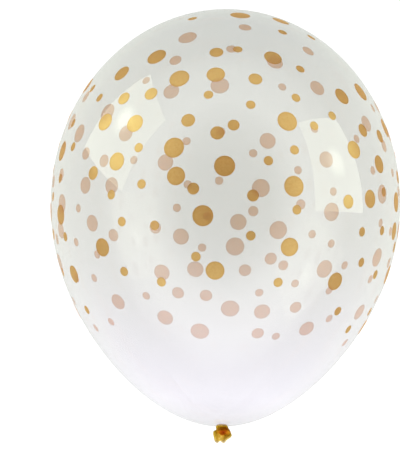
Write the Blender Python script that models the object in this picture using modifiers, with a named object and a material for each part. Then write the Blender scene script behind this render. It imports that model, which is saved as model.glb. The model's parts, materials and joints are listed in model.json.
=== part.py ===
"""Inflated party balloon of clear latex, tied off in its own neck, lying on its side.

The crown points along +Y and the knot along -Y. The balloon rests on a small flat
spot at the origin, below its widest section, with +Z up. Lengths are in metres.
"""

import math

import bmesh
import bpy
from mathutils import Vector

# Inflated skin
BALLOON_DIAMETER = 0.300
CROWN_LENGTH = 0.168        # widest section to the top of the crown
NECK_LENGTH = 0.192         # widest section to the lowest point of the skin
NECK_SLIMMING = 0.165       # how much slimmer than an ellipse the skin gets at the knot
REST_SPOT_WIDTH = 0.040     # flat that keeps the balloon from rolling

# Knot tied in the neck. A place in it is given as across, up and away from its groove, and
# a lean as degrees tipped upwards and degrees turned to the left.
KNOT_LENGTH = 0.0155        # from the groove to the tips of the lip
KNOT_SHIFT = 0.0002         # the knot sits a little off the balloon's axis
KNOT_SINK = 0.001           # how deep its groove is pulled into the skin
WRAP_DIAMETER = 0.0106      # turn of rubber wound tight against the skin
WRAP_THICKNESS = 0.0040
WRAP_PLACE = (0.0017, 0.0, 0.0022)
WRAP_LEAN = (-18, 4)
CROSSING_DIAMETER = 0.0130  # second turn, which crosses over the first
CROSSING_THICKNESS = 0.0048
CROSSING_PLACE = (0.0027, 0.0, 0.0060)
CROSSING_LEAN = (-22, 5)
HEART_SIZE = (0.0078, 0.0074, 0.0090)    # neck where it passes through its own loop
HEART_PLACE = (0.0018, 0.0, 0.0052)
TAIL_WIDTH = 0.0098         # neck that comes out of the knot, flattened and pinched
TAIL_THICKNESS = 0.0044
TAIL_TIP_WIDTH = 0.0018
TAIL_START = 0.0050
TAIL_END = 0.0122
TAIL_SHIFT = 0.0014
LIP_THICKNESS = 0.0022      # rolled bead round the mouth
FILM_THICKNESS = 0.0012     # film inside the bead

# The rolled lip hangs from the knot as a closed bead, folded into two tips. Each point is
# a place in the knot, as shares of the knot's length.
LIP_ROUTE = (
    (-0.29, 0.05, 0.40), (-0.30, 0.07, 0.51), (-0.265, 0.07, 0.66), (-0.235, 0.04, 0.79),
    (-0.205, 0.01, 0.88), (-0.14, 0.00, 0.92), (-0.09, 0.01, 0.88), (-0.03, 0.03, 0.83),
    (0.04, 0.04, 0.81), (0.10, 0.03, 0.84), (0.145, 0.01, 0.88), (0.21, 0.00, 0.92),
    (0.27, 0.01, 0.86), (0.34, 0.04, 0.775), (0.45, 0.07, 0.70), (0.56, 0.05, 0.61),
    (0.565, 0.00, 0.50), (0.42, -0.10, 0.42), (0.10, -0.16, 0.38), (-0.18, -0.10, 0.34),
)

# Fineness of the mesh
TURN_STEPS = 64
PROFILE_STEPS = 40
RING_STEPS = 28
TUBE_SIDES = 10
LIP_STEPS = 2               # from one point of the lip's route to the next

# Look of the rubber, with its colour in linear values
LATEX_COLOUR = (0.80, 0.80, 0.81, 1.0)
LATEX_ROUGHNESS = 0.12
LATEX_OPACITY = 0.35

RADIUS = BALLOON_DIAMETER / 2
AXIS_HEIGHT = math.sqrt(RADIUS ** 2 - (REST_SPOT_WIDTH / 2) ** 2)
MERGE = 0.00001


def clear_scene():
    """Remove every object that is in the file."""
    for old in list(bpy.data.objects):
        bpy.data.objects.remove(old, do_unlink=True)


def new_collection(name):
    """Make a collection in the scene."""
    collection = bpy.data.collections.new(name)
    bpy.context.scene.collection.children.link(collection)
    return collection


def clear_latex():
    """Unpigmented latex, stretched to a thin glossy film."""
    material = bpy.data.materials.new("clear_latex")
    material.use_nodes = True
    shader = material.node_tree.nodes["Principled BSDF"]
    shader.inputs["Base Color"].default_value = LATEX_COLOUR
    shader.inputs["Roughness"].default_value = LATEX_ROUGHNESS
    shader.inputs["Metallic"].default_value = 0.0
    shader.inputs["Alpha"].default_value = LATEX_OPACITY
    return material


def balloon_axis():
    """Empty on the balloon's axis at its widest section, with its +Z towards the crown.

    Its +X points across the balloon and its -Y upwards.
    """
    axis = bpy.data.objects.new("balloon_axis", None)
    axis.location = (0, 0, AXIS_HEIGHT)
    axis.rotation_euler = (math.radians(-90), 0, 0)
    bpy.context.scene.collection.objects.link(axis)
    return axis


def adopt(thing, collection, axis):
    """Move an object into a collection and hang it on the balloon's axis."""
    for other in list(thing.users_collection):
        other.objects.unlink(thing)
    collection.objects.link(thing)
    thing.parent = axis
    return thing


def in_knot(across, up, away):
    """Place in the axis's frame of a point given from the knot's groove."""
    return Vector((KNOT_SHIFT + across, -up, KNOT_SINK - NECK_LENGTH - away))


def skin_profile():
    """Half outline of the skin, from the crown down to the knot.

    The radius follows the cosine of an angle that runs from 90 degrees at the crown to
    -90 at the knot, and the height its sine. Below the widest section the radius also
    shrinks with the square of the sine, which draws the skin in towards the knot.
    """
    points = [(0.0, 0.0, CROWN_LENGTH)]
    for step in range(1, PROFILE_STEPS):
        angle = math.radians(90 - 180 * step / PROFILE_STEPS)
        rise = math.sin(angle)
        if rise > 0:
            points.append((RADIUS * math.cos(angle), 0.0, CROWN_LENGTH * rise))
        else:
            slimmed = RADIUS * (1 - NECK_SLIMMING * rise ** 2)
            points.append((slimmed * math.cos(angle), 0.0, NECK_LENGTH * rise))
    points.append((0.0, 0.0, -NECK_LENGTH))
    return points


def skin(collection, axis):
    """Turned body of the balloon."""
    points = skin_profile()
    mesh = bpy.data.meshes.new("balloon")
    mesh.from_pydata(points, [(i, i + 1) for i in range(len(points) - 1)], [])
    mesh.materials.append(clear_latex())
    body = adopt(bpy.data.objects.new("balloon", mesh), collection, axis)
    turn = body.modifiers.new("turn", "SCREW")
    turn.steps = turn.render_steps = TURN_STEPS
    turn.use_merge_vertices = True
    turn.merge_threshold = MERGE
    turn.use_smooth_shade = True
    return body


def turn_of_rubber(name, diameter, thickness, place, lean, collection, axis):
    """Strand of the neck wound once round the knot, as a leaning ring."""
    bpy.ops.mesh.primitive_torus_add(
        major_radius=(diameter - thickness) / 2, minor_radius=thickness / 2,
        major_segments=RING_STEPS, minor_segments=TUBE_SIDES)
    ring = adopt(bpy.context.object, collection, axis)
    ring.name = name
    ring.data.shade_smooth()
    ring.location = in_knot(*place)
    ring.rotation_euler = (math.radians(lean[0]), math.radians(lean[1]), 0)
    return ring


def knot_heart(collection, axis):
    """Rounded middle of the knot, where the neck passes through its own loop."""
    bpy.ops.mesh.primitive_uv_sphere_add(segments=RING_STEPS, ring_count=RING_STEPS // 2)
    heart = adopt(bpy.context.object, collection, axis)
    heart.name = "knot_heart"
    heart.data.shade_smooth()
    heart.location = in_knot(*HEART_PLACE)
    heart.scale = Vector(HEART_SIZE) / 2
    return heart


def tail(collection, axis):
    """Flattened neck that comes out of the knot and pinches down between the lip's tips."""
    mesh = bpy.data.meshes.new("tail")
    shape = bmesh.new()
    bmesh.ops.create_cone(
        shape, cap_ends=True, segments=RING_STEPS, depth=TAIL_END - TAIL_START,
        radius1=TAIL_TIP_WIDTH / 2, radius2=TAIL_WIDTH / 2)
    bmesh.ops.scale(shape, vec=(1, TAIL_THICKNESS / TAIL_WIDTH, 1), verts=shape.verts)
    shape.to_mesh(mesh)
    shape.free()
    mesh.shade_smooth()
    mesh.set_sharp_from_angle(angle=math.radians(40))
    cone = adopt(bpy.data.objects.new("tail", mesh), collection, axis)
    cone.location = in_knot(TAIL_SHIFT, 0, (TAIL_START + TAIL_END) / 2)
    return cone


def smooth_loop(points, steps):
    """Points on a closed curve that passes smoothly through the given ones.

    Between two points the curve is the cubic whose slope at each point is half the way
    from the point before it to the point after it.
    """
    route = []
    for i, start in enumerate(points):
        before, end = points[i - 1], points[(i + 1) % len(points)]
        after = points[(i + 2) % len(points)]
        for step in range(steps):
            t = step / steps
            rise = 3 * t ** 2 - 2 * t ** 3
            leaving = (end - before) / 2 * (t ** 3 - 2 * t ** 2 + t)
            arriving = (after - start) / 2 * (t ** 3 - t ** 2)
            route.append(start.lerp(end, rise) + leaving + arriving)
    return route


def curve_solid(name, curve, route, collection, axis):
    """Closed mesh of a curve that runs round a closed route."""
    spline = curve.splines.new("POLY")
    spline.points.add(len(route) - 1)
    for point, place in zip(spline.points, route):
        point.co = (*place, 1)
    spline.use_cyclic_u = True
    guide = adopt(bpy.data.objects.new(name + "_guide", curve), collection, None)
    mesh = bpy.data.meshes.new_from_object(
        guide.evaluated_get(bpy.context.evaluated_depsgraph_get()))
    bpy.data.objects.remove(guide, do_unlink=True)
    shape = bmesh.new()
    shape.from_mesh(mesh)
    bmesh.ops.remove_doubles(shape, verts=shape.verts, dist=MERGE)
    shape.to_mesh(mesh)
    shape.free()
    mesh.shade_smooth()
    mesh.set_sharp_from_angle(angle=math.radians(40))
    return adopt(bpy.data.objects.new(name, mesh), collection, axis)


def lip_bead(collection, axis):
    """Rolled bead of the mouth, a closed tube folded into two tips."""
    points = [in_knot(*(Vector(point) * KNOT_LENGTH)) for point in LIP_ROUTE]
    curve = bpy.data.curves.new("lip_bead", "CURVE")
    curve.dimensions = "3D"
    curve.bevel_depth = LIP_THICKNESS / 2
    curve.bevel_resolution = TUBE_SIDES // 2 - 1
    route = smooth_loop(points, LIP_STEPS)
    return curve_solid("lip_bead", curve, route, collection, axis)


def lip_film(collection, axis):
    """Film inside the bead, as a flat plate along the middle of the bead's route."""
    points = [Vector((across, -away, 0)) * KNOT_LENGTH for across, up, away in LIP_ROUTE]
    curve = bpy.data.curves.new("lip_film", "CURVE")
    curve.dimensions = "2D"
    curve.fill_mode = "BOTH"
    curve.extrude = FILM_THICKNESS / 2
    route = smooth_loop(points, LIP_STEPS)
    film = curve_solid("lip_film", curve, route, collection, axis)
    film.location = in_knot(0, FILM_THICKNESS / 4, 0)
    film.rotation_euler = (math.radians(90), 0, 0)
    return film


def rest_cutter(collection):
    """Block below the ground that takes the flat spot off the skin."""
    size = BALLOON_DIAMETER
    bpy.ops.mesh.primitive_cube_add(size=size, location=(0, 0, -size / 2))
    cutter = adopt(bpy.context.object, collection, None)
    cutter.name = "rest_cutter"
    return cutter


def combine(body, other, operation):
    """Join another shape to the body, or cut it away, and hide that shape."""
    step = body.modifiers.new(other.name, "BOOLEAN")
    step.operation = operation
    step.object = other
    step.use_self = True
    other.hide_render = True
    other.display_type = "WIRE"


def build():
    """Model the balloon."""
    clear_scene()
    parts = new_collection("confetti_balloon")
    cutters = new_collection("cutters")
    axis = balloon_axis()

    body = skin(parts, axis)
    knot = [
        turn_of_rubber("knot_wrap", WRAP_DIAMETER, WRAP_THICKNESS, WRAP_PLACE, WRAP_LEAN,
                       cutters, axis),
        turn_of_rubber("knot_crossing", CROSSING_DIAMETER, CROSSING_THICKNESS,
                       CROSSING_PLACE, CROSSING_LEAN, cutters, axis),
        knot_heart(cutters, axis),
        tail(cutters, axis),
        lip_film(cutters, axis),
        lip_bead(cutters, axis),
    ]
    for piece in knot:
        combine(body, piece, "UNION")
    combine(body, rest_cutter(cutters), "DIFFERENCE")


build()
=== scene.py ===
import json

import bmesh
import bpy
import numpy as np
from mathutils import Euler, Matrix, Vector


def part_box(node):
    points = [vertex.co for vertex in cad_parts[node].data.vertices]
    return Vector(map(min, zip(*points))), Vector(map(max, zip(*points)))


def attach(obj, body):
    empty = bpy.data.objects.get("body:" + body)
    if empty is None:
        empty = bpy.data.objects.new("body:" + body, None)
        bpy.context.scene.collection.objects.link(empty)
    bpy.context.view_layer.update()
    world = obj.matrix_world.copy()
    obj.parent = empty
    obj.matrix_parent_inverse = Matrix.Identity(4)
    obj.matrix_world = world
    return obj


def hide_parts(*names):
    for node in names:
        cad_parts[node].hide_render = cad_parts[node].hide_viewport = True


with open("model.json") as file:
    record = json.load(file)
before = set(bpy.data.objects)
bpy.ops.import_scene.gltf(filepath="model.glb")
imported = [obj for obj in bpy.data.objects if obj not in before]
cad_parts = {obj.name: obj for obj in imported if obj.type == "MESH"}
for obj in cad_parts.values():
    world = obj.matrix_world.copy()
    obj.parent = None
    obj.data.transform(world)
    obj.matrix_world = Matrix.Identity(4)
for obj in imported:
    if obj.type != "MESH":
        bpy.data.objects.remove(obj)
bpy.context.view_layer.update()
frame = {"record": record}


# The inflated skin: unpigmented natural rubber latex, dipped on a former and blown up until
# its wall is about a twentieth of a millimetre thick. It is one closed bubble, drawn in to the
# knot, and rests on the ground on a small flat patch.

LOWEST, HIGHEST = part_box("balloon")
NECK_MOUNT = next(m for m in frame["record"]["mounts"] if m["name"] == "ribbon_neck")
KNOT_X, KNOT_Y, AXIS_HEIGHT = NECK_MOUNT["pos_m"]
RADIUS = (HIGHEST.x - LOWEST.x) / 2
CROWN_LENGTH = HIGHEST.y
KNOT_SINK = 0.001             # how deep the knot's groove is pulled into the skin
NECK_LENGTH = KNOT_SINK - KNOT_Y
NECK_SLIMMING = 0.165         # how much slimmer than an ellipse the skin gets at the knot
GROUND_LEVEL = -0.0006        # with the softness, it keeps the skin 0.1 mm off the ground
GROUND_SOFTNESS = 0.0015      # how rounded the edge of the flat patch is
SKIN_ROWS = 170
SKIN_COLUMNS = 240
ROW_CROWDING = 0.9            # below 1, the rows lie closer together towards the knot
MERGE = 0.0000005             # places closer together than this become one


def on_skin(slope, turn, lift=0.0):
    """Places on the skin, or lifted off it along its normal.

    The slope runs from 90 degrees at the crown to -90 at the knot, and the turn round the
    axis is 0 on top and 90 on the right, both in radians. The distance from the axis follows
    the slope's cosine and the place along the axis its sine. Below the widest section the
    distance also shrinks with the square of the sine. The lowest part is a smooth maximum of
    that height and the ground's.
    """
    slope, turn = np.broadcast_arrays(slope, turn)
    rise, reach = np.sin(slope), np.cos(slope)
    length = np.where(rise > 0, CROWN_LENGTH, NECK_LENGTH)
    slimming = np.where(rise > 0, 0.0, NECK_SLIMMING)
    distance = RADIUS * reach * (1 - slimming * rise ** 2)
    outward = length * reach
    forward = RADIUS * rise * (1 - slimming * rise ** 2 + 2 * slimming * reach ** 2)
    size = np.hypot(outward, forward)
    outward, forward = outward / size, forward / size
    height = AXIS_HEIGHT + distance * np.cos(turn)
    height = GROUND_SOFTNESS * np.logaddexp(GROUND_LEVEL / GROUND_SOFTNESS,
                                            height / GROUND_SOFTNESS)
    return np.stack([
        distance * np.sin(turn) + lift * outward * np.sin(turn),
        length * rise + lift * forward,
        height + lift * outward * np.cos(turn),
    ], axis=-1)


def surface(name, grid, rows_close=False, share=None):
    """Smooth mesh of grids of places, an array of (grids, rows, columns, 3).

    Every four neighbouring places make a face, and the columns close up into a ring. With
    rows_close the last row meets the first. Places that fall together, as at a pole, become
    one. share gives each place a number that a material can read.
    """
    grids, rows, columns = grid.shape[:3]
    index = np.arange(grids * rows * columns).reshape(grids, rows, columns)
    if rows_close:
        index = np.concatenate([index, index[:, :1]], axis=1)
    beside = np.roll(index, -1, axis=2)
    faces = np.stack([index[:, :-1], beside[:, :-1], beside[:, 1:], index[:, 1:]], axis=-1)
    mesh = bpy.data.meshes.new(name)
    mesh.from_pydata(grid.reshape(-1, 3), [], faces.reshape(-1, 4).tolist())
    if share is not None:
        attribute = mesh.attributes.new("share", "FLOAT", "POINT")
        attribute.data.foreach_set("value", np.broadcast_to(share, grid.shape[:3]).ravel())
    form = bmesh.new()
    form.from_mesh(mesh)
    bmesh.ops.remove_doubles(form, verts=form.verts, dist=MERGE)
    form.to_mesh(mesh)
    form.free()
    mesh.shade_smooth()
    piece = bpy.data.objects.new(name, mesh)
    bpy.context.scene.collection.objects.link(piece)
    return piece


def linear(code):
    """Colour of an sRGB hex code in linear values, with full opacity."""
    values = np.array([int(code[i:i + 2], 16) for i in (1, 3, 5)]) / 255
    values = np.where(values > 0.04045, ((values + 0.055) / 1.055) ** 2.4, values / 12.92)
    return (*values.tolist(), 1.0)


def new_material(name):
    """Empty node material, with its tree and its Principled shader."""
    material = bpy.data.materials.new(name)
    material.use_nodes = True
    return material, material.node_tree, material.node_tree.nodes["Principled BSDF"]


def add_node(tree, kind, settings=None, inputs=None):
    """Add a node with its settings. An input is a plain value or another node's socket."""
    node = tree.nodes.new(kind)
    for key, value in (settings or {}).items():
        setattr(node, key, value)
    for key, value in (inputs or {}).items():
        if isinstance(value, bpy.types.NodeSocket):
            tree.links.new(value, node.inputs[key])
        else:
            node.inputs[key].default_value = value
    return node


def colour_ramp(tree, share, stops):
    """Socket of a colour that runs through the stops, each a place from 0 to 1 and a code."""
    ramp = add_node(tree, "ShaderNodeValToRGB", None, {"Fac": share})
    stop = ramp.color_ramp.elements[0]
    ramp.color_ramp.elements.remove(ramp.color_ramp.elements[1])
    for place, code in stops:
        if place > 0:
            stop = ramp.color_ramp.elements.new(place)
        stop.position = place
        stop.color = linear(code)
    return ramp.outputs["Color"]


# The milky veil of the rubber from the knot (0) to the crown (1): grey where it is drawn together
# at the knot, partly thicker rubber and partly painted shade round the knot and along the bottom
# edge, white where it is slack, clear where it is tight and grey again at the crown.
VEIL_AND_KNOT_SHADE = ((0.0, "#a4a2a4"), (0.05, "#cac8cd"), (0.12, "#cac8cd"), (0.41, "#cacbc1"),
        (0.76, "#cacbc1"), (1.0, "#a9ada5"))
CLOUD_SIZE = 0.060            # soft clouds left by the dipping
CLOUD_DEPTH = 0.02


def clear_latex():
    """Unpigmented latex, dipped and stretched: a glossy film, clear and slightly milky.

    The eye sees the far wall through it, veiled twice. Towards the knot the rubber is
    stretched less and scatters more, so it is whiter there.
    """
    material, tree, shader = new_material("clear_latex")
    place = add_node(tree, "ShaderNodeTexCoord").outputs["Object"]
    along = add_node(tree, "ShaderNodeSeparateXYZ", None, {0: place}).outputs["Y"]
    share = add_node(tree, "ShaderNodeMapRange", None, {
        "Value": along, "From Min": -NECK_LENGTH, "From Max": CROWN_LENGTH,
    }).outputs["Result"]
    cloud = add_node(tree, "ShaderNodeTexNoise", None, {
        "Vector": place, "Scale": 1 / CLOUD_SIZE, "Detail": 2.0,
    }).outputs["Fac"]
    milk = add_node(tree, "ShaderNodeMapRange", None, {
        "Value": cloud, "To Min": 1 - CLOUD_DEPTH, "To Max": 1 + CLOUD_DEPTH,
    }).outputs["Result"]
    colour = add_node(tree, "ShaderNodeVectorMath", {"operation": "SCALE"}, {
        0: colour_ramp(tree, share, VEIL_AND_KNOT_SHADE), "Scale": milk,
    }).outputs["Vector"]
    tree.links.new(colour, shader.inputs["Base Color"])
    shader.inputs["Alpha"].default_value = 0.43
    shader.inputs["Roughness"].default_value = 0.25
    shader.inputs["Specular IOR Level"].default_value = 0.0
    # Rubber's own IOR is 1.52. Both faces of the film mirror, and the alpha thins the gloss
    # with the rest, so the coat takes the IOR that gives the film its true 8 per cent.
    shader.inputs["Coat Weight"].default_value = 1.0
    shader.inputs["Coat IOR"].default_value = 2.5
    shader.inputs["Coat Roughness"].default_value = 0.03
    return material


skin_slope = np.radians(90 - 180 * np.linspace(0, 1, SKIN_ROWS + 1) ** ROW_CROWDING)[:, None]
skin_turn = np.linspace(0, 2 * np.pi, SKIN_COLUMNS, endpoint=False)[None, :]
skin = surface("skin", on_skin(skin_slope, skin_turn)[None])
skin.data.materials.append(clear_latex())
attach(skin, "root")
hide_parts("balloon")


# The print: dots of gold ink, screen printed on the outside of the rubber and stretched with
# it. One screen is used on all four sides, upside down at the back, and the crown has a
# scatter of its own. The ink lies on the skin in a layer too thin to feel.

# The screen has dots of five widths, given here as they are on the inflated skin.
DOT_WIDTHS = {"a": 0.0078, "b": 0.0096, "c": 0.0115, "d": 0.0152, "e": 0.0170}
BINDER_LIFT = 0.0001          # the two layers, off the skin so that they don't fall together
FLAKE_LIFT = 0.00015
DOT_RINGS = 3
DOT_SIDES = 24
SMALL_SLOPE = 0.001           # a step along the skin that tells which way it runs
PROFILE_STEPS = 2000          # steps of the skin's profile, on which a dot's places are found
RIM_START = 0.72              # of the dot's radius
FLAKE_PATCH = 0.0015          # patches of denser flakes, a little coarser than real

# Each dot is given by its turn from the middle of the screen in degrees, its place along the
# axis from the widest section in millimetres, and its width. The places are measured, to half
# a degree and half a millimetre.
SCREEN = (
    (3.5, 106, "a"), (-30, 101.5, "e"), (17.5, 100, "d"), (-5, 102.5, "c"), (28, 92, "a"),
    (-44.5, 90, "d"), (-4.5, 80.5, "d"), (-17.5, 77.5, "e"), (9.5, 77.5, "c"),
    (-51.5, 70, "a"), (-27, 65, "c"), (-38, 64, "c"), (23.5, 63.5, "a"), (-6.5, 61.5, "a"),
    (7.5, 53.5, "a"), (-44, 45, "d"), (29, 40.5, "a"), (19.5, 41.5, "e"), (-31, 39.5, "d"),
    (-12.5, 39, "c"), (2, 35, "b"), (-3, 28, "c"), (21.5, 17.5, "a"), (-28.5, 18, "a"),
    (-16.5, 16, "e"), (-36.5, 8.5, "d"), (13, 6.5, "a"), (-46.5, 2, "c"), (-0.5, 0.5, "e"),
    (-15.5, -7.5, "d"), (21.5, -12.5, "e"), (-27, -12.5, "a"), (-10, -18, "b"),
    (-38.5, -18.5, "a"), (8.5, -22.5, "b"), (23, -31, "a"), (-7, -39.5, "e"),
    (-35, -41, "a"), (-23, -46, "a"), (8.5, -54, "a"), (-45, -59, "d"), (22, -60.5, "d"),
    (-9.5, -71, "a"), (-37.5, -79.5, "a"), (-3, -81.5, "d"), (20, -88, "a"),
    (-23, -89.5, "a"),
)
# Each side's middle turn, how much wider or narrower its screen is printed than the first,
# its shift along the axis in millimetres and how much longer or shorter it is. The minus signs
# turn the screen upside down.
SIDES = ((0, 1, 0, 1), (91, 1.05, -20.3, 1.04), (-90, 1.03, -11.4, 1.03),
         (160.4, -0.96, 5.4, -0.97))
# The crown's dots are given in the same way, with their turn from the top of the balloon.
CROWN = (
    (7, 148, "e"), (-24, 144, "a"), (37, 147.5, "d"), (28, 130.5, "a"), (49, 133, "a"),
    (113, 145, "c"), (130, 121, "d"), (148, 143.5, "d"), (150.5, 126, "a"), (153.5, 164.5, "c"),
    (178, 153.5, "b"), (184.5, 128.5, "e"), (209.5, 120.5, "d"), (217, 142.5, "c"),
    (-133, 124.5, "a"), (-136, 157, "e"),
)


def printed_dots():
    """Turn, place along the axis and width of every dot, as arrays in radians and metres."""
    rows = [(middle + spread * turn, shift + stretch * along, DOT_WIDTHS[width])
            for middle, spread, shift, stretch in SIDES for turn, along, width in SCREEN]
    rows += [(turn, along, DOT_WIDTHS[width]) for turn, along, width in CROWN]
    turn, along, width = np.array(rows).T
    return np.radians(turn), along / 1000, width


def dot_grids(turn, along, width, lift):
    """Round patches that lie on the skin, or lifted off it, as grids of rings.

    Each patch is a flat disc that touches the skin at its centre. Its places are dropped
    onto the skin along the lines from the middle of the widest section.
    """
    length = np.where(along > 0, CROWN_LENGTH, NECK_LENGTH)
    slope = np.arcsin(along / length)
    middle = on_skin(slope, turn)
    step = on_skin(slope + SMALL_SLOPE, turn) - middle
    upward = step / np.linalg.norm(step, axis=-1, keepdims=True)
    sideward = np.stack([np.cos(turn), 0 * turn, -np.sin(turn)], axis=-1)
    share = np.linspace(0, 1, DOT_RINGS + 1)[None, :, None, None]
    angle = np.linspace(0, 2 * np.pi, DOT_SIDES, endpoint=False)[None, None, :, None]
    spoke = np.cos(angle) * sideward[:, None, None] + np.sin(angle) * upward[:, None, None]
    disc = middle[:, None, None] + spoke * share * width[:, None, None, None] / 2
    across, ahead, above = np.moveaxis(disc, -1, 0)
    above = above - AXIS_HEIGHT
    slopes = np.linspace(-np.pi / 2, np.pi / 2, PROFILE_STEPS + 1)
    profile = on_skin(slopes, 0 * slopes)
    bearings = np.arctan2(profile[:, 1], profile[:, 2] - AXIS_HEIGHT)
    bearing = np.arctan2(ahead, np.hypot(across, above))
    return on_skin(np.interp(bearing, bearings, slopes), np.arctan2(across, above), lift)


def ink_colour(tree, deep, pale, rim):
    """Socket of a colour that is mottled from deep to pale and differs at the dot's rim."""
    place = add_node(tree, "ShaderNodeTexCoord").outputs["Object"]
    share = add_node(tree, "ShaderNodeAttribute", {"attribute_name": "share"}).outputs["Fac"]
    edge = add_node(tree, "ShaderNodeMapRange", {"interpolation_type": "SMOOTHSTEP"}, {
        "Value": share, "From Min": RIM_START, "From Max": 1.0,
    }).outputs["Result"]
    flakes = add_node(tree, "ShaderNodeTexNoise", None, {
        "Vector": place, "Scale": 1 / FLAKE_PATCH, "Detail": 1.0,
    }).outputs["Fac"]
    mottle = add_node(tree, "ShaderNodeMapRange", None, {
        "Value": flakes, "From Min": 0.2, "From Max": 0.8,
    }).outputs["Result"]
    body = add_node(tree, "ShaderNodeMix", {"data_type": "RGBA"}, {
        "Factor": mottle, "A": linear(deep), "B": linear(pale),
    }).outputs["Result"]
    return add_node(tree, "ShaderNodeMix", {"data_type": "RGBA"}, {
        "Factor": edge, "A": body, "B": linear(rim),
    }).outputs["Result"]


def amber_binder():
    """Clear lacquer that binds the ink, stained amber.

    The eye sees what is behind it through a warm brown filter, darker at the dot's rim,
    where the wet ink gathered.
    """
    material, tree, shader = new_material("amber_binder")
    tree.links.new(ink_colour(tree, "#f07210", "#ff8418", "#e8680e"), shader.inputs["Base Color"])
    shader.inputs["Transmission Weight"].default_value = 1.0
    shader.inputs["Roughness"].default_value = 0.05
    shader.inputs["IOR"].default_value = 1.0
    return material


def brass_flakes():
    """Fine brass flakes in the lacquer, too far apart to hide what is behind them.

    They lie flat, so the dot turns a pale yellow gold where it mirrors a light.
    """
    material, tree, shader = new_material("brass_flakes")
    tree.links.new(ink_colour(tree, "#dacc86", "#e8de9e", "#dacc86"), shader.inputs["Base Color"])
    shader.inputs["Metallic"].default_value = 0.75
    shader.inputs["Roughness"].default_value = 0.35
    shader.inputs["Alpha"].default_value = 0.50
    return material


rim_share = np.linspace(0, 1, DOT_RINGS + 1)[None, :, None]
for name, lift, ink in (("dot_binder", BINDER_LIFT, amber_binder()),
                        ("dot_flakes", FLAKE_LIFT, brass_flakes())):
    layer = surface(name, dot_grids(*printed_dots(), lift), share=rim_share)
    layer.data.materials.append(ink)
    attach(layer, "root")
    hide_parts("balloon")


# The knot: the balloon's own neck, wound round itself and pulled tight. The rubber is hardly
# stretched here, so it keeps its amber colour, and it folds along the strand.

# The neck makes two turns. Each one's place is across, up and away from the groove, and its
# lean is how far it tips back and bends sideways, in degrees.
WRAP = {"diameter": 0.0106, "thickness": 0.0040, "place": (0.0017, 0.0, 0.0022),
        "lean": (-18, 4)}
CROSSING = {"diameter": 0.0130, "thickness": 0.0048, "place": (0.0027, 0.0, 0.0060),
            "lean": (-22, 5)}
CORE = (0.0030, 0.0030, 0.0052)          # where the folds lie deepest
GROOVE = (0.0, 0.0, 0.0)
BETWEEN_TIPS = (0.0006, 0.0, 0.0110)     # where a single layer of the neck shows, and where the tail is painted palest
RING_ROWS = 160
RING_COLUMNS = 48
# Each fold's waves round the strand, its waves along the ring and its depth, as a share.
FOLDS = ((5, 2, 0.07), (9, -3, 0.05))
FOLDED_GIRTH = 0.95           # how much the folds draw the strand in
COLOUR_REACH = 0.016          # distance over which the rubber's colour runs through its stops
FOLD_SIZE = 0.0035            # patches that make that distance uneven, and by how much
FOLD_DEPTH = 0.0015
# The paler stops of the turns are partly painted light, lightened where the turns shade each other.
OUTER_TURN = ((0.0, "#c05c00"), (0.18, "#c88010"), (0.30, "#b88e1c"), (0.60, "#a89030"))
INNER_TURN = ((0.0, "#742600"), (0.14, "#742800"), (0.22, "#8a4600"), (0.36, "#a47814"),
              (0.60, "#a48a34"))


def in_knot(across, up, away):
    """Places given from the knot's groove, across, up and away from the skin."""
    return np.stack([KNOT_X + across, KNOT_Y - away, AXIS_HEIGHT + up], axis=-1)


def strand_ring(diameter, thickness, place, lean):
    """Leaning ring of folded rubber, a ring swept by a circle with folds in it.

    The folds are waves round the strand that shift as they run along it.
    """
    along = np.linspace(0, 2 * np.pi, RING_ROWS, endpoint=False)[:, None]
    round_it = np.linspace(0, 2 * np.pi, RING_COLUMNS, endpoint=False)[None, :]
    folds = sum(depth * np.cos(around * round_it + drift * along) for around, drift, depth in FOLDS)
    strand = thickness / 2 * (FOLDED_GIRTH + folds)
    distance = (diameter - thickness) / 2 + strand * np.cos(round_it)
    across, up = distance * np.cos(along), distance * np.sin(along)
    away = -strand * np.sin(round_it) + 0 * along
    tip, bend = np.radians(lean)
    up, away = up * np.cos(tip) - away * np.sin(tip), up * np.sin(tip) + away * np.cos(tip)
    across, away = (across * np.cos(bend) - away * np.sin(bend),
                    across * np.sin(bend) + away * np.cos(bend))
    return in_knot(across + place[0], up + place[1], away + place[2])[None]


def tied_latex(name, centre, stops):
    """Unstretched latex: amber and dusted, so that it hardly shines.

    It is translucent, so it looks browner where many folds of it lie deep. Its colour changes with
    the distance from a place in the knot, and its paler, brighter stops are partly painted light,
    the glow through thin rubber, lightened where the turns and folds lie in shade. Each stop is a
    distance as a share of COLOUR_REACH, and a colour.
    """
    material, tree, shader = new_material(name)
    place = add_node(tree, "ShaderNodeTexCoord").outputs["Object"]
    distance = add_node(tree, "ShaderNodeVectorMath", {"operation": "DISTANCE"}, {
        0: place, 1: in_knot(*centre).tolist(),
    }).outputs["Value"]
    fold = add_node(tree, "ShaderNodeTexNoise", None, {
        "Vector": place, "Scale": 1 / FOLD_SIZE, "Detail": 1.0, "Distortion": 0.6,
    }).outputs["Fac"]
    uneven = add_node(tree, "ShaderNodeMapRange", {"clamp": False}, {
        "Value": fold, "To Min": -FOLD_DEPTH, "To Max": FOLD_DEPTH,
    }).outputs["Result"]
    reach = add_node(tree, "ShaderNodeMath", {"operation": "ADD"}, {
        0: distance, 1: uneven,
    }).outputs["Value"]
    share = add_node(tree, "ShaderNodeMath", {"operation": "DIVIDE"}, {
        0: reach, 1: COLOUR_REACH,
    }).outputs["Value"]
    tree.links.new(colour_ramp(tree, share, stops), shader.inputs["Base Color"])
    shader.inputs["Roughness"].default_value = 0.4
    shader.inputs["IOR"].default_value = 1.52
    shader.inputs["Specular IOR Level"].default_value = 0.02
    return material


def add_to_knot(piece, material):
    """Give a piece of the knot its rubber and let it stand for the balloon."""
    piece.data.materials.append(material)
    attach(piece, "root")
    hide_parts("balloon")


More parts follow.
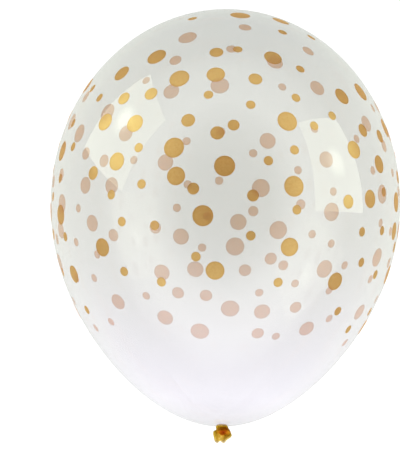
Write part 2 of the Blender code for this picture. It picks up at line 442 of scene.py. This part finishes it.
wrap = surface("knot_wrap", strand_ring(**WRAP), rows_close=True)
add_to_knot(wrap, tied_latex("wrap_latex", CORE, OUTER_TURN))
crossing = surface("knot_crossing", strand_ring(**CROSSING), rows_close=True)
add_to_knot(crossing, tied_latex("crossing_latex", CORE, INNER_TURN))


# The heart of the knot: the lump where the neck passes through its own loop, showing between
# the two turns.

HEART_SIZE = (0.0078, 0.0074, 0.0090)
HEART_PLACE = (0.0018, 0.0, 0.0052)
HEART_ROWS = 60
HEART_COLUMNS = 96
HEART_FOLDS = 8
HEART_FOLD_DEPTH = 0.05       # of its girth
HEART_TWIST = 2               # how far the folds turn from pole to pole


def heart_grid():
    """Ellipsoid with lengthwise folds, waves in its girth that fade out at its poles."""
    slope = np.linspace(np.pi / 2, -np.pi / 2, HEART_ROWS + 1)[:, None]
    turn = np.linspace(0, 2 * np.pi, HEART_COLUMNS, endpoint=False)[None, :]
    waves = np.cos(HEART_FOLDS * turn + HEART_TWIST * slope)
    girth = np.cos(slope) * (1 + HEART_FOLD_DEPTH * np.cos(slope) * waves)
    across = HEART_SIZE[0] / 2 * girth * np.sin(turn) + HEART_PLACE[0]
    up = HEART_SIZE[1] / 2 * girth * np.cos(turn) + HEART_PLACE[1]
    away = -HEART_SIZE[2] / 2 * np.sin(slope) + HEART_PLACE[2] + 0 * turn
    return in_knot(across, up, away)[None]


heart = surface("knot_heart", heart_grid())
add_to_knot(heart, tied_latex("heart_latex", CORE, INNER_TURN))


# The tail: the end of the neck beyond the knot, flattened and folded into two tips, with the
# mouth's rolled lip as a bead along its edge.

KNOT_LENGTH = 0.0155          # from the groove to the tips of the lip
LIP_THICKNESS = 0.0022
FILM_THICKNESS = 0.0006       # two layers of unstretched rubber
FILM_RISE = 0.0007            # how far above the bead's middle the film meets it
TAIL_ROOT = (0.0034, 0.0024, 0.0050)     # half width, half height and place in the knot
TAIL_SHIFT = 0.0014           # how far its root lies to the right
TAIL_TURN = -0.35             # radians, so that the root's places face the lip's
TAIL_FOLDS = 14
TAIL_FOLD_DEPTH = 0.00015
TAIL_ROWS = 28
LIP_SIDES = 16
LIP_STEPS = 10

# Each point is a place in the knot (across, up, away), as shares of the knot's length. The
# route runs down the left leg to its tip, over to the right tip and back round underneath.
LIP_ROUTE = (
    (-0.29, 0.05, 0.40), (-0.30, 0.07, 0.51), (-0.265, 0.07, 0.66), (-0.235, 0.04, 0.79),
    (-0.205, 0.01, 0.88), (-0.14, 0.00, 0.92), (-0.09, 0.01, 0.88), (-0.03, 0.03, 0.83),
    (0.04, 0.04, 0.81), (0.10, 0.03, 0.84), (0.145, 0.01, 0.88), (0.21, 0.00, 0.92),
    (0.27, 0.01, 0.86), (0.34, 0.04, 0.775), (0.45, 0.07, 0.70), (0.56, 0.05, 0.61),
    (0.565, 0.00, 0.50), (0.42, -0.10, 0.42), (0.10, -0.16, 0.38), (-0.18, -0.10, 0.34),
)


def smooth_loop(points, steps):
    """Places on a closed curve through the given points, as whole arrays.

    Between two points the curve is the cubic whose slope at each point is half the way from
    the point before it to the point after it.
    """
    start, end = points, np.roll(points, -1, axis=0)
    before, after = np.roll(points, 1, axis=0), np.roll(points, -2, axis=0)
    t = np.linspace(0, 1, steps, endpoint=False)[None, :, None]
    rise = 3 * t ** 2 - 2 * t ** 3
    leaving = (end - before)[:, None] / 2 * (t ** 3 - 2 * t ** 2 + t)
    arriving = (after - start)[:, None] / 2 * (t ** 3 - t ** 2)
    route = start[:, None] * (1 - rise) + end[:, None] * rise + leaving + arriving
    return route.reshape(-1, 3)


def bead_grid(route):
    """Round bead along a closed route, a circle square to the route at each place."""
    along = np.roll(route, -1, axis=0) - np.roll(route, 1, axis=0)
    along /= np.linalg.norm(along, axis=-1, keepdims=True)
    side = np.cross(along, (0.0, 0.0, 1.0))
    side /= np.linalg.norm(side, axis=-1, keepdims=True)
    top = np.cross(side, along)
    angle = np.linspace(0, 2 * np.pi, LIP_SIDES, endpoint=False)[None, :, None]
    circle = np.cos(angle) * side[:, None] + np.sin(angle) * top[:, None]
    return (route[:, None] + LIP_THICKNESS / 2 * circle)[None]


def tail_grid(route):
    """Neck that opens out from an oval in the knot to the lip's route.

    Each row lies between the oval and the route, rising a little towards the route, and folds
    swell in the middle rows.
    """
    turn = np.linspace(0, 2 * np.pi, len(route), endpoint=False) + TAIL_TURN
    oval = in_knot(TAIL_SHIFT - TAIL_ROOT[0] * np.cos(turn), TAIL_ROOT[1] * np.sin(turn),
                   TAIL_ROOT[2] + 0 * turn)
    share = np.linspace(0, 1, TAIL_ROWS)[:, None, None]
    fold = TAIL_FOLD_DEPTH * np.sin(np.pi * share) * np.cos(TAIL_FOLDS * turn)[None, :, None]
    rise = (fold + FILM_RISE * share) * np.array([0, 0, 1.0])
    return (oval * (1 - share) + route * share + rise)[None]


lip_route = in_knot(*(smooth_loop(np.array(LIP_ROUTE), LIP_STEPS) * KNOT_LENGTH).T)
tail = surface("knot_tail", tail_grid(lip_route))
wall = tail.modifiers.new("wall", "SOLIDIFY")
wall.thickness = FILM_THICKNESS
wall.offset = 0
# The tail's pale stops near the tips are partly the thin single layer's own colour and partly
# painted light, lightened where the creases between the tips lie in shade.
add_to_knot(tail, tied_latex("tail_latex", BETWEEN_TIPS, (
    (0.0, "#ecd490"), (0.08, "#e8c468"), (0.16, "#c8a038"), (0.35, "#c29426"))))
lip = surface("knot_lip", bead_grid(lip_route), rows_close=True)
add_to_knot(lip, tied_latex("lip_latex", GROOVE, (
    (0.0, "#c8b464"), (0.40, "#cca828"), (0.78, "#c8a840"), (0.92, "#aa9a6c"))))


# The studio: a pale lit floor, a pale room, a lit card and two softboxes, one on each side of
# the balloon, whose square windows show in its gloss.

FLOOR_SIZE = 12.0
CORE_REACH = 0.13             # how far a softbox's bright core reaches


def plane(name, width, height, place, lean):
    """Flat sheet of the studio, with its middle at a place and its face leaning (degrees)."""
    corners = [(-width / 2, -height / 2, 0), (width / 2, -height / 2, 0),
               (width / 2, height / 2, 0), (-width / 2, height / 2, 0)]
    mesh = bpy.data.meshes.new(name)
    mesh.from_pydata(corners, [], [(0, 1, 2, 3)])
    sheet = bpy.data.objects.new(name, mesh)
    sheet.location = place
    sheet.rotation_euler = Euler(np.radians(lean))
    bpy.context.scene.collection.objects.link(sheet)
    return sheet


def softbox(name, width, height, place, lean, glow, core, core_place):
    """Diffuser lit from behind, brightest round the lamp.

    It shows only in the gloss and lights the rest.
    """
    sheet = plane(name, width, height, place, lean)
    sheet.visible_camera = False
    sheet.visible_transmission = False
    material, tree, shader = new_material(name)
    here = add_node(tree, "ShaderNodeTexCoord").outputs["Object"]
    from_core = add_node(tree, "ShaderNodeVectorMath", {"operation": "DISTANCE"}, {
        0: here, 1: (*core_place, 0.0),
    }).outputs["Value"]
    lit = add_node(tree, "ShaderNodeMapRange", {"interpolation_type": "SMOOTHERSTEP"}, {
        "Value": from_core, "From Min": 0.0, "From Max": CORE_REACH,
        "To Min": core, "To Max": glow,
    }).outputs["Result"]
    tree.links.new(lit, shader.inputs["Emission Strength"])
    shader.inputs["Emission Color"].default_value = linear("#fcffec")
    shader.inputs["Base Color"].default_value = linear("#000000")
    sheet.data.materials.append(material)


softbox("left_softbox", width=0.57, height=0.54, place=(-0.605, 0.389, 0.371),
        lean=(79.9, 26.1, -106.9), glow=1.90, core=4.2, core_place=(0.0, -0.03))
softbox("right_softbox", width=0.61, height=0.47, place=(0.662, 0.256, 0.396),
        lean=(60.3, -14.2, 81.9), glow=1.90, core=3.7, core_place=(-0.05, 0.016))

# A lit card beyond the knot, just out of the picture, lights the rubber there.
card = plane("card", width=1.4, height=0.4, place=(0, -0.6, 0.2), lean=(-100, 0, 0))
card_paint, _, card_shader = new_material("card_paint")
card_shader.inputs["Base Color"].default_value = linear("#000000")
card_shader.inputs["Emission Color"].default_value = linear("#f6f2ff")
card_shader.inputs["Emission Strength"].default_value = 4.9
card.data.materials.append(card_paint)
card.visible_camera = False
card.visible_transmission = False
card.visible_glossy = False

floor = plane("floor", FLOOR_SIZE, FLOOR_SIZE, place=(0, 0, 0), lean=(0, 0, 0))
floor_paint, _, floor_shader = new_material("floor_paint")
floor_shader.inputs["Base Color"].default_value = linear("#7c7c7c")
floor_shader.inputs["Roughness"].default_value = 0.8
floor_shader.inputs["Specular IOR Level"].default_value = 0.0
floor_shader.inputs["Emission Color"].default_value = linear("#ffffff")
floor_shader.inputs["Emission Strength"].default_value = 0.95
floor.data.materials.append(floor_paint)
floor.visible_glossy = False

# The room from straight below (0) to straight above (1), as the gloss shows it: a pale stand,
# darker walls and a bright ceiling with a dark middle, where the camera looks through.
ROOM_BANDS = ((0.0, "#c0c6be"), (0.12, "#bcc2ba"), (0.26, "#868c92"), (0.50, "#84868a"),
              (0.68, "#f8faf8"), (0.82, "#fafcfa"), (0.93, "#8c908c"), (1.0, "#5c605c"))
BRIGHT_SIDE = (-0.5, -1.0, 0.0)          # where the room is brightest

world = bpy.data.worlds.new("room")
world.use_nodes = True
bpy.context.scene.world = world
room = world.node_tree.nodes["Background"]
towards = add_node(world.node_tree, "ShaderNodeTexCoord").outputs["Generated"]
heading = add_node(world.node_tree, "ShaderNodeSeparateXYZ", None, {0: towards})
bright_side = add_node(world.node_tree, "ShaderNodeVectorMath", {"operation": "DOT_PRODUCT"}, {
    0: towards, 1: BRIGHT_SIDE,
}).outputs["Value"]
height = add_node(world.node_tree, "ShaderNodeMapRange", None, {
    "Value": heading.outputs["Z"], "From Min": -1.0, "From Max": 1.0,
}).outputs["Result"]
light = add_node(world.node_tree, "ShaderNodeMapRange", None, {
    "Value": bright_side, "From Min": -1.0, "From Max": 1.0, "To Min": 1.10, "To Max": 1.21,
}).outputs["Result"]
world.node_tree.links.new(colour_ramp(world.node_tree, height, ROOM_BANDS),
                          room.inputs["Color"])
world.node_tree.links.new(light, room.inputs["Strength"])
bpy.context.scene.view_settings.view_transform = "Standard"

# The camera looks down on the lying balloon from above its knot's side.
PICTURE_WIDTH, PICTURE_HEIGHT = 400, 452
CAMERA_DISTANCE = 2.12
CAMERA_TILT = np.radians(11.37)          # from straight above, towards the knot
CAMERA_ROLL = np.radians(1.4)            # how far the crown leans to the right in the picture
FOCAL_PIXELS = 2465
MIDDLE_PIXEL = (225.3, 203.5)            # where the middle of the widest section shows

middle = Vector((0, 0, AXIS_HEIGHT))
away = Vector((0, -np.sin(CAMERA_TILT), np.cos(CAMERA_TILT)))
level = Vector((1, 0, 0))
upright = away.cross(level)
right = level * np.cos(CAMERA_ROLL) + upright * np.sin(CAMERA_ROLL)
up = upright * np.cos(CAMERA_ROLL) - level * np.sin(CAMERA_ROLL)
pixel = CAMERA_DISTANCE / FOCAL_PIXELS
aim = (middle - right * (MIDDLE_PIXEL[0] - PICTURE_WIDTH / 2) * pixel
       - up * (PICTURE_HEIGHT / 2 - MIDDLE_PIXEL[1]) * pixel)
eye = middle + away * CAMERA_DISTANCE
back = (eye - aim).normalized()
right = up.cross(back).normalized()
up = back.cross(right)
camera = bpy.data.objects.new("camera", bpy.data.cameras.new("camera"))
camera.matrix_world = Matrix((right, up, back)).transposed().to_4x4()
camera.location = eye
camera.data.sensor_width = 36
# The picture is taller than it is wide, so the sensor's width spans its height.
camera.data.lens = FOCAL_PIXELS * camera.data.sensor_width / PICTURE_HEIGHT
bpy.context.scene.collection.objects.link(camera)
bpy.context.scene.camera = camera
